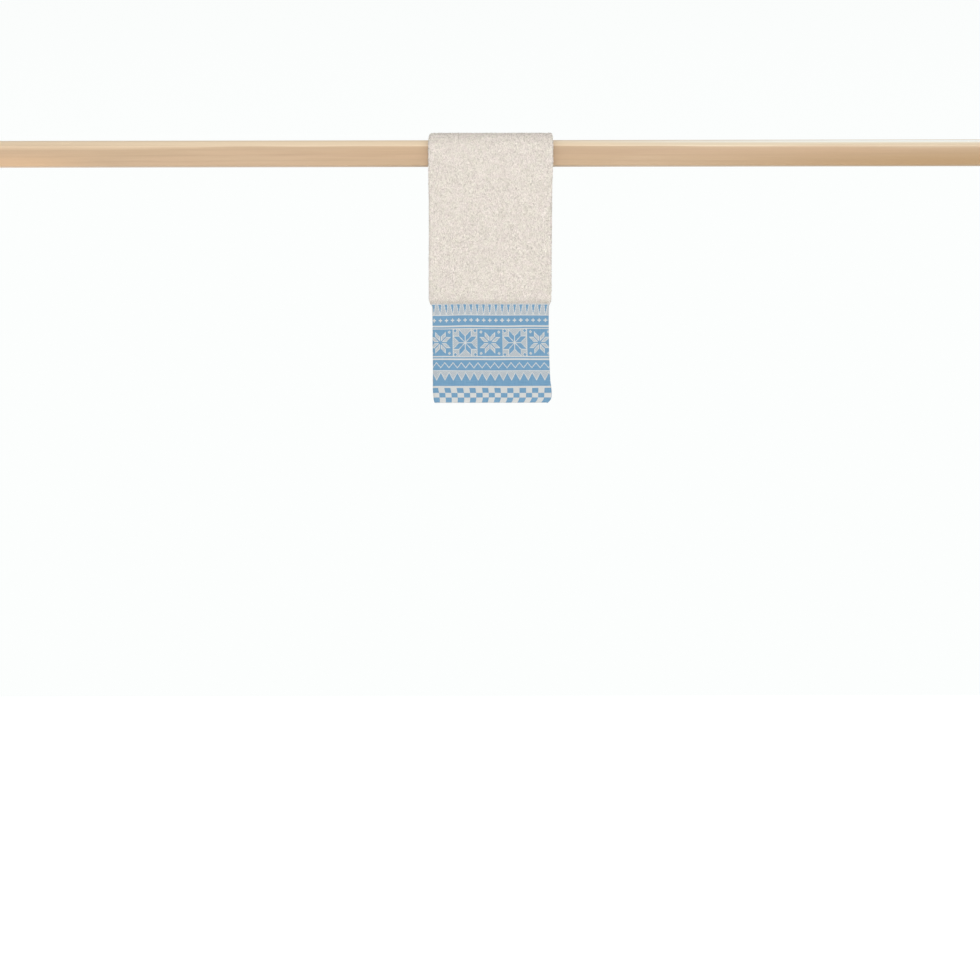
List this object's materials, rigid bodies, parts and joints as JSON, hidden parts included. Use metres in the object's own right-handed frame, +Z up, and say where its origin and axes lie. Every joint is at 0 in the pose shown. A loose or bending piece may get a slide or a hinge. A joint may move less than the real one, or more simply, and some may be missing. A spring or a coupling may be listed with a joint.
{
  "type": "folded terry towel on a wooden rail",
  "caption": "Small terry towel with a woven blue border, folded lengthwise in three and hung over a plain straight wooden rail.",
  "frame": {"origin": "middle of the rail's axis, under the middle of the towel", "axes": "+X along the rail, to the right when the woven border faces the viewer; +Z up; the side with the border faces -Y"},
  "size_m": [1.14, 0.0505, 0.297],
  "materials": {
    "terry_cloth": "oatmeal cotton terry with a flat woven border in pale blue and ecru",
    "rail_wood": "pale planed softwood, matt"
  },
  "bodies": {
    "root": {"towel": "terry_cloth", "rail": "rail_wood"}
  },
  "joints": []
}
